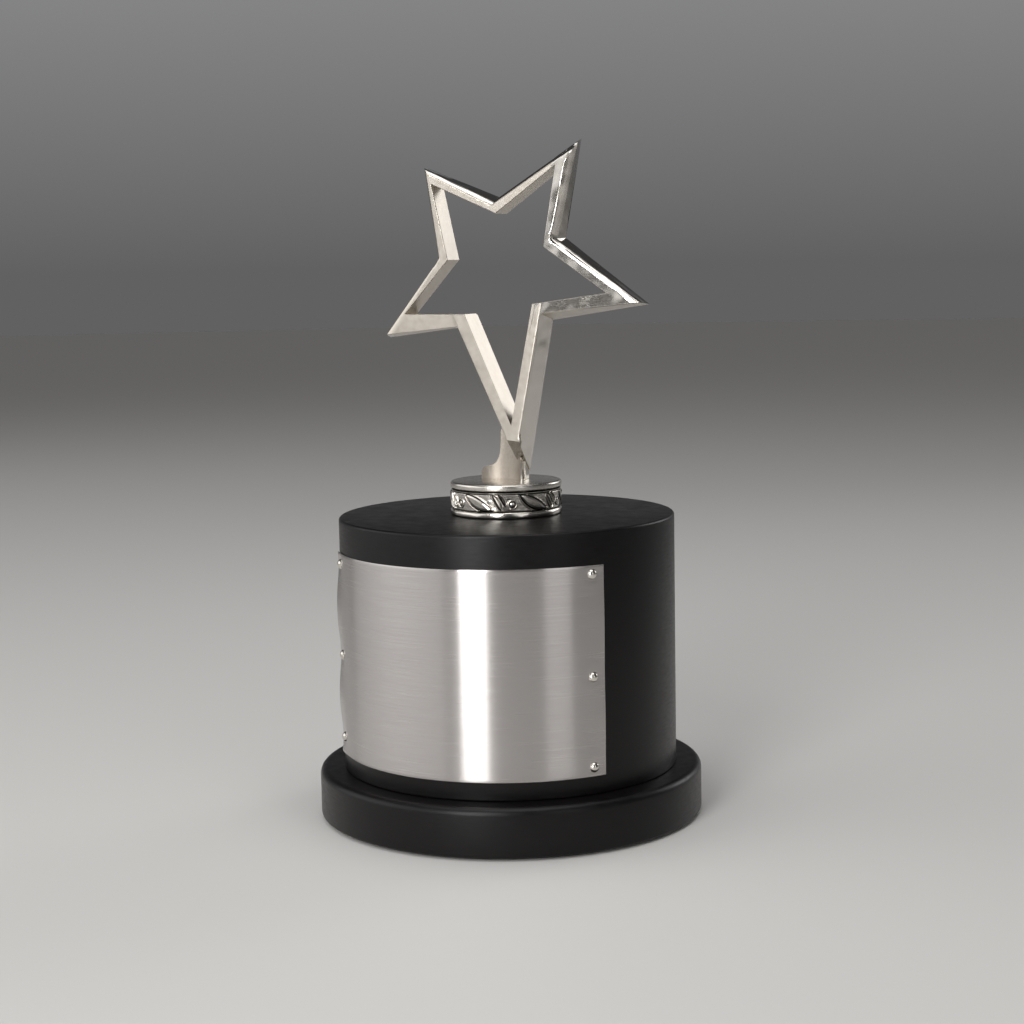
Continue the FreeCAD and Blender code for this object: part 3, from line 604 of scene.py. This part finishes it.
def frieze_height(angle, up):
    """Relief of the frieze, 0 in its deepest cuts and 1 on its beads; up is mm from its middle."""
    height = GROUND + GROUND_UNEVEN * round_noise(angle, 9, up * 0.8)
    for middle, length, width, slant, curl, lift in LEAVES:
        leaf = leaf_relief(frieze_offset(angle, middle), up - lift, length, width, slant, curl)
        if leaf is not None:
            height = max(leaf, height) if leaf else 0.0
    berry = berry_relief(frieze_offset(angle, BERRY_ANGLE), up + BERRY_DROP)
    return height if berry is None else berry


def frieze_radius(height, angle):
    """Radius of the frieze at one height, in mm, fading to a plain ring at its edges."""
    fade = (smooth_step(height, FRIEZE_LOW, FRIEZE_LOW + FRIEZE_FADE)
            * smooth_step(-height, -FRIEZE_HIGH, -FRIEZE_HIGH + FRIEZE_FADE))
    relief = frieze_height(angle, height - (FRIEZE_LOW + FRIEZE_HIGH) / 2)
    return FRIEZE_FLOOR + FRIEZE_RELIEF * fade * relief


def build_collar(metal):
    """Grid wrapped round the axis, pushed out by the leaves, and closed by a plain inner wall."""
    plain = dict(LOWER_MOULDING + UPPER_MOULDING + [(FRIEZE_HIGH, FRIEZE_FLOOR)])
    heights = [height for height, _ in LOWER_MOULDING]
    heights += [FRIEZE_LOW + (FRIEZE_HIGH - FRIEZE_LOW) * (k + 1) / FRIEZE_ROWS
                for k in range(FRIEZE_ROWS)]
    heights += [height for height, _ in UPPER_MOULDING]
    widest = COLLAR_RADIUS / MM
    last_row = len(heights) + 1
    bm = bmesh.new()
    bmesh.ops.create_grid(bm, x_segments=COLLAR_COLUMNS, y_segments=last_row, size=1.0)
    for vert in bm.verts:
        column = round((vert.co.x + 1) / 2 * COLLAR_COLUMNS)
        row = round((vert.co.y + 1) / 2 * last_row)
        angle = math.tau * column / COLLAR_COLUMNS
        height = heights[min(max(row - 1, 0), len(heights) - 1)]
        if row in (0, last_row):
            radius = widest - COLLAR_WALL
        else:
            uneven = LOWER_UNEVEN if height < FRIEZE_LOW else UPPER_UNEVEN
            radius = plain[height] if height in plain else frieze_radius(height, angle)
            radius = min(radius + uneven * round_noise(angle, 4, height * 0.4), widest)
        vert.co = (radius * MM * math.sin(angle), -radius * MM * math.cos(angle),
                   COLLAR_LOW.z + height * MM)
    bmesh.ops.remove_doubles(bm, verts=bm.verts, dist=MERGE_REACH)
    bmesh.ops.bridge_loops(bm, edges=[edge for edge in bm.edges if edge.is_boundary])
    finish_piece("leaf_band", to_mesh("leaf_band", bm, 50.0), [metal], ["leaf_collar"])


def build_cap(metal):
    """Disc with rounded edges and a slightly uneven rim, on a boss with a blind bore."""
    low, high = COLLAR_HIGH.z, CAP_HIGH.z
    boss_low, bore_top = CAP_LOW.z, CAP_LOW.z + CAP_BORE_DEPTH
    bm = turned_bmesh(
        [(0.0, bore_top), (CAP_BORE_RADIUS, bore_top), (CAP_BORE_RADIUS, boss_low),
         (CAP_BOSS_RADIUS, boss_low), (CAP_BOSS_RADIUS, low), (CAP_RADIUS, low), (CAP_RADIUS, high),
         (0.0, high)],
        [0, 0, 0, 0, 0, CAP_LOWER_ROUND, CAP_UPPER_ROUND, 0])
    for vert in bm.verts:
        reach = math.hypot(vert.co.x, vert.co.y)
        if reach > CAP_RIM_START:
            swell = noise.noise(Vector((vert.co.x, vert.co.y, 0.0)) / reach * CAP_SWELLS)
            vert.co.xy *= 1 + CAP_UNEVEN * (swell - CAP_UNEVEN_MOST) / reach
    finish_piece("cap_disc", to_mesh("cap_disc", bm), [metal], ["collar_cap"])


# ---------------------------------------------------------------- star

# Middle of the star's opening. Then the radius, axis and top of the curved web that carries the
# star, which is hollow towards the front, and the left, front and top of the heel at its right end.
STAR_MIDDLE = Vector((1.0 * MM, 0.0, CAP_TOP + 75.2 * MM))
WEB_RADIUS = 11.0 * MM
WEB_X, WEB_Y = -2.8 * MM, STAR_BACK - 1.25 * MM - WEB_RADIUS
WEB_TOP = CAP_TOP + 19.0 * MM
HEEL_LEFT, HEEL_FRONT, HEEL_TOP = 5.0 * MM, 2.0 * MM, CAP_TOP + 7.0 * MM

# Material indexes on the casting.
SATIN, POLISHED, CAST = 0, 1, 2
# The right arm's front is buffed from here on, in metres to the right of the axis.
POLISHED_ARM_START = 14.0 * MM

# The polisher softens every corner of the star above this height.
STAR_CORNERS_START = CAP_TOP + 21.0 * MM
INNER_ROUND, BACK_ROUND, HEEL_ROUND = 0.3 * MM, 0.8 * MM, 0.3 * MM

# The front's outer edge is rolled over. In mm: how far the roll reaches over the face and down the
# wall, and what both gain on an edge that faces right.
ROLL_ACROSS, ROLL_ACROSS_GAIN = 1.5, 1.3
ROLL_DEPTH, ROLL_DEPTH_GAIN = 2.0, 1.4
# The face is cut at these shares of the roll's reach, and the wall at these of the deepest roll.
FACE_CUTS = (0.1, 0.2, 0.3, 0.45, 0.7, 1.0, 1.4, 1.8)
WALL_CUTS = (0.15, 0.33, 0.55, 0.78, 1.0)
# No roll goes further down the wall, or further in from the outline, than these.
ROLL_DEEPEST, ROLL_WIDEST = 3.4 * MM, 4.0 * MM
# The roll is this share of its size low on the star, and grows to all of it between two heights.
LOW_ROLL_SHARE = 0.3
ROLL_GROWS_FROM, ROLL_GROWS_TO = 48.0 * MM, 64.0 * MM
# It is wider by this share at the end of the right arm.
ARM_WIDENING = 0.8
ARM_WIDENS_FROM, ARM_WIDENS_TO = 22.0 * MM, 34.0 * MM
# Rolls of two edges blend over this distance where they meet.
CORNER_BLEND = 0.9 * MM
# The roll fades in over these distances from the star's lowest point and from the inner outline.
FOOT_FADE, INNER_FADE = 2.5 * MM, 1.6 * MM
# Behind the front plane it fades out between these distances in from the outer outline.
WALL_FADE_FROM, WALL_FADE_TO = 0.8 * MM, 3.6 * MM


def flat_distance(point, first, second):
    """Distance from a point to a segment, both seen from the front."""
    run = Vector((second.x - first.x, second.z - first.z))
    offset = Vector((point.x - first.x, point.z - first.z))
    share = min(max(offset.dot(run) / run.length_squared, 0.0), 1.0)
    return (offset - run * share).length


def plane_corners(bm, level):
    """Sharp edges of the casting that lie on its front or back plane."""
    return [edge for edge in bm.edges
            if edge.is_manifold and edge.calc_face_angle(0.0) > math.radians(30)
            and all(abs(vert.co.y - level) < TOUCH for vert in edge.verts)]


def outline_edges(bm, level):
    """Edges of the star's outer outline on its front plane, with their inward directions."""
    found = []
    for edge in plane_corners(bm, level):
        first, second = (vert.co for vert in edge.verts)
        wall = min(edge.link_faces, key=lambda face: abs(face.normal.y))
        if wall.normal.dot((first + second) / 2 - STAR_MIDDLE) < 0 or wall.normal.z < -0.95:
            continue
        along = (second - first).normalized()
        inward = Vector((along.z, 0.0, -along.x))
        if inward.dot(wall.normal) > 0:
            inward.negate()
        found.append((first.copy(), second.copy(), inward))
    return found


def plain_edges(bm, level, outline):
    """Sharp edges on a plane that aren't part of the outer outline."""
    outer = {(first + second).to_tuple(6) for first, second, _ in outline}
    return [edge for edge in plane_corners(bm, level)
            if (edge.verts[0].co + edge.verts[1].co).to_tuple(6) not in outer]


def soften(bm, edges, size):
    """Small round on some edges."""
    bmesh.ops.bevel(bm, geom=edges, offset=size, offset_type="OFFSET", segments=3, profile=0.5,
                    affect="EDGES", material=-1, clamp_overlap=False)


def roll_sizes(inward):
    """How far the rolled edge reaches over the face and down the wall, larger towards the right."""
    to_right = max(0.0, -inward.x)
    return ((ROLL_ACROSS + ROLL_ACROSS_GAIN * to_right) * MM,
            (ROLL_DEPTH + ROLL_DEPTH_GAIN * to_right) * MM)


def cut_for_roll(bm, outline, level):
    """Cut the face along the outline and the wall along the front, to give the roll its points."""
    cuts = [(first + inward * roll_sizes(inward)[0] * share, inward)
            for first, _, inward in outline for share in FACE_CUTS]
    cuts += [((0, level + ROLL_DEEPEST * share, 0), (0, 1, 0)) for share in WALL_CUTS]
    for point, direction in cuts:
        bmesh.ops.bisect_plane(bm, geom=bm.verts[:] + bm.edges[:] + bm.faces[:], dist=MERGE_REACH,
                               plane_co=point, plane_no=direction)


def roll_edge(bm, outline, level, inner):
    """Round the front over: points near the outer outline move onto an elliptical corner."""
    cut_for_roll(bm, outline, level)
    lowest = min(min(first.z, second.z) for first, second, _ in outline)
    for vert in bm.verts:
        down = vert.co.y - level
        if down > ROLL_DEEPEST:
            continue
        near = [(flat_distance(vert.co, first, second), inward)
                for first, second, inward in outline]
        closest = min(gap for gap, _ in near)
        inner_gap = min(flat_distance(vert.co, first, second) for first, second in inner)
        if closest > ROLL_WIDEST or closest > inner_gap:
            continue
        grown = LOW_ROLL_SHARE + (1 - LOW_ROLL_SHARE) * smooth_step(
            vert.co.z - CAP_TOP, ROLL_GROWS_FROM, ROLL_GROWS_TO)
        widened = 1 + ARM_WIDENING * smooth_step(vert.co.x, ARM_WIDENS_FROM, ARM_WIDENS_TO)
        pull, across, depth, total = Vector(), 0.0, 0.0, 0.0
        for gap, inward in near:
            weight = max(0.0, 1 - (gap - closest) / CORNER_BLEND) ** 2
            edge_across, edge_depth = roll_sizes(inward)
            pull += inward * weight
            across += edge_across * grown * widened * weight
            depth += edge_depth * grown * weight
            total += weight
        across, depth = across / total, depth / total
        fade = (smooth_step(vert.co.z, lowest, lowest + FOOT_FADE)
                * smooth_step(inner_gap, 0.0, INNER_FADE))
        if down < TOUCH:
            if closest >= across:
                continue
            swing = math.pi / 4 * (1 - closest / across)
            inset = across * (1 - math.sin(swing)) - closest
        else:
            if down >= depth:
                continue
            swing = math.pi / 4 * (1 + down / depth)
            inset = across * (1 - math.sin(swing))
            fade *= 1 - smooth_step(closest, WALL_FADE_FROM, WALL_FADE_TO)
        sink = depth * (1 - math.cos(swing)) - down
        vert.co += (pull * (inset / total) + Vector((0, sink, 0))) * fade


def star_finish(face, outline, inner):
    """Material of a face: cast skin on the web, satin on the front and inside, polish elsewhere."""
    middle = face.calc_center_median()
    from_web_axis = Vector((middle.x - WEB_X, middle.y - WEB_Y)).length
    if middle.z < WEB_TOP and abs(from_web_axis - WEB_RADIUS) < 0.2 * MM:
        return CAST
    left_of_arm = middle.x < POLISHED_ARM_START
    if middle.y < STAR_FRONT + 0.4 * MM and face.normal.y < -0.8 and left_of_arm:
        return SATIN
    inner_gap = min(flat_distance(middle, first, second) for first, second in inner)
    outer_gap = min(flat_distance(middle, first, second) for first, second, _ in outline)
    if inner_gap < outer_gap and (face.normal.y > -0.5 or left_of_arm):
        return SATIN
    return POLISHED


def build_star(satin, polished, cast):
    """The casting with its front edge rolled over, its other edges softened by polishing."""
    bm = bmesh.new()
    bm.from_mesh(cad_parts["star_figure"].data)
    bmesh.ops.remove_doubles(bm, verts=bm.verts, dist=MERGE_REACH)
    bmesh.ops.dissolve_limit(bm, angle_limit=math.radians(0.6), verts=bm.verts, edges=bm.edges)
    bmesh.ops.recalc_face_normals(bm, faces=bm.faces)
    outline = outline_edges(bm, STAR_FRONT)
    front_edges = plain_edges(bm, STAR_FRONT, outline)
    inner = [tuple(vert.co.copy() for vert in edge.verts) for edge in front_edges]
    soften(bm, [edge for edge in front_edges
                if min(vert.co.z for vert in edge.verts) > STAR_CORNERS_START], INNER_ROUND)
    soften(bm, [edge for edge in plain_edges(bm, STAR_BACK, [])
                if min(vert.co.z for vert in edge.verts) > STAR_CORNERS_START], BACK_ROUND)
    soften(bm, [edge for edge in bm.edges
                if edge.is_manifold and edge.calc_face_angle_signed(0.0) > math.radians(40)
                and all(vert.co.z < HEEL_TOP + TOUCH and vert.co.x > HEEL_LEFT - TOUCH
                        and vert.co.y > HEEL_FRONT - TOUCH for vert in edge.verts)], HEEL_ROUND)
    roll_edge(bm, outline, STAR_FRONT, inner)
    for face in bm.faces:
        face.material_index = star_finish(face, outline, inner)
    bmesh.ops.dissolve_limit(bm, angle_limit=math.radians(0.5), verts=bm.verts, edges=bm.edges,
                             delimit={"MATERIAL"})
    piece = finish_piece("star_casting", to_mesh("star_casting", bm, 33.0),
                         [satin, polished, cast], ["star_figure"])
    even = piece.modifiers.new("even_normals", "WEIGHTED_NORMAL")
    even.keep_sharp = True


# ---------------------------------------------------------------- stage

CAMERA_AZIMUTH = math.radians(24.0)
CAMERA_DISTANCE = 0.7074
CAMERA_HEIGHT = 0.1957
CAMERA_SIDESTEP = 0.0020
CAMERA_PITCH = math.radians(7.05)
CAMERA_ROLL = math.radians(-1.03)
LENS_MM, SENSOR_MM = 69.86, 36.0

# Each soft box: azimuth (0 in front, positive to the right) and elevation in degrees, distance,
# width and height in metres, power in watts, and spread in degrees.
LIGHTS = {
    "front_strip": (1, 19, 1.3, 0.4, 1.0, 5.0, 120),
    "left_wall": (-60, 20, 1.6, 2.8, 1.2, 6.0, 110),
    "right_strip": (57, 20, 1.5, 0.48, 1.1, 0.5, 90),
    "right_back": (152, 20, 1.5, 1.0, 0.8, 0.4, 40),
    "overhead": (20, 84, 1.6, 1.4, 1.4, 4.2, 110),
}
LIGHTS_TARGET = Vector((0.0, 0.0, 0.12))

# The surroundings' colour by height, from 0 at the horizon to 1 overhead.
WORLD_STOPS = ((0.0, "#626162"), (0.13, "#848485"), (0.3, "#3c3c3d"), (0.75, "#404041"),
               (0.92, "#b4b4b4"))
FLOOR_RADIUS = 6.0

HARDWARE = ("tie_rod", "rod_washer", "rod_nut", "foot_screw_1", "foot_screw_2", "foot_screw_3")


def build_camera():
    """Camera in front of the trophy and to its right, level with the star and tipped down."""
    data = bpy.data.cameras.new("camera")
    data.lens = LENS_MM
    data.sensor_width = SENSOR_MM
    camera = bpy.data.objects.new("camera", data)
    bpy.context.scene.collection.objects.link(camera)
    around = Matrix.Rotation(CAMERA_AZIMUTH, 4, "Z")
    place = Matrix.Translation((CAMERA_SIDESTEP, -CAMERA_DISTANCE, CAMERA_HEIGHT))
    tilt = Matrix.Rotation(math.pi / 2 - CAMERA_PITCH, 4, "X")
    camera.matrix_world = around @ place @ tilt @ Matrix.Rotation(CAMERA_ROLL, 4, "Z")
    bpy.context.scene.camera = camera


def build_lights():
    """Soft boxes on spheres round the trophy, each turned to face it."""
    for name, (azimuth, elevation, distance, width, height, power, spread) in LIGHTS.items():
        data = bpy.data.lights.new(name, "AREA")
        data.shape = "RECTANGLE"
        data.size = width
        data.size_y = height
        data.energy = power
        data.spread = math.radians(spread)
        light = bpy.data.objects.new(name, data)
        bpy.context.scene.collection.objects.link(light)
        a, e = math.radians(azimuth), math.radians(elevation)
        outward = Vector((math.sin(a) * math.cos(e), -math.cos(a) * math.cos(e), math.sin(e)))
        light.location = LIGHTS_TARGET + outward * distance
        light.rotation_euler = (-outward).to_track_quat("-Z", "Y").to_euler()


def build_world():
    """Dim surroundings, palest just above the horizon and overhead."""
    world = bpy.data.worlds.new("studio")
    bpy.context.scene.world = world
    world.use_nodes = True
    tree = world.node_tree
    place = add_node(tree, "ShaderNodeTexCoord")
    parts = add_node(tree, "ShaderNodeSeparateXYZ", links={"Vector": place.outputs["Generated"]})
    ramp = add_node(tree, "ShaderNodeValToRGB", links={"Fac": parts.outputs["Z"]})
    band = ramp.color_ramp.elements
    for position, _ in WORLD_STOPS[len(band):]:
        band.new(position)
    for stop, (position, colour) in zip(band, WORLD_STOPS):
        stop.position = position
        stop.color = srgb(colour)
    tree.links.new(ramp.outputs["Color"], tree.nodes["Background"].inputs["Color"])


def build_floor():
    """Wide disc of pale paper that the trophy stands on."""
    bm = bmesh.new()
    bmesh.ops.create_circle(bm, cap_ends=True, radius=FLOOR_RADIUS, segments=96)
    mesh = bpy.data.meshes.new("floor")
    bm.to_mesh(mesh)
    bm.free()
    floor = bpy.data.objects.new("floor", mesh)
    bpy.context.scene.collection.objects.link(floor)
    paper, _, _ = new_finish("pale_paper", "#d4d2cf", metallic=0.0, roughness=0.6)
    mesh.materials.append(paper)


def main():
    """Build every piece with its finish, then the stage."""
    satin = satin_nickel()
    polished = polished_nickel("polished_nickel", smooth=0.06, rough=0.18, waves_per_mm=0.12,
                               wave_mm=0.5, speck_mm=0.012)
    lacquer = black_lacquer()
    build_foot(lacquer)
    build_drum(lacquer)
    build_felt(black_felt())
    build_plate(brushed_steel(), polished_nickel("sheared_steel", smooth=0.15, rough=0.3,
                                                 waves_per_mm=0.3, wave_mm=0.0, speck_mm=0.004))
    build_nails(polished_nickel("nickel_nail", smooth=0.05, rough=0.12, waves_per_mm=0.3,
                                wave_mm=0.02, speck_mm=0.002))
    build_collar(antiqued_nickel())
    build_cap(polished_nickel("buffed_nickel", smooth=0.16, rough=0.32, waves_per_mm=0.3,
                              wave_mm=0.05, speck_mm=0.012))
    build_star(satin, polished, cast_nickel())
    zinc = zinc_steel()
    for node in HARDWARE:
        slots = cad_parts[node].data.materials
        slots.clear()
        slots.append(zinc)
    build_floor()
    build_lights()
    build_world()
    build_camera()
    bpy.context.scene.view_settings.view_transform = "Standard"


main()
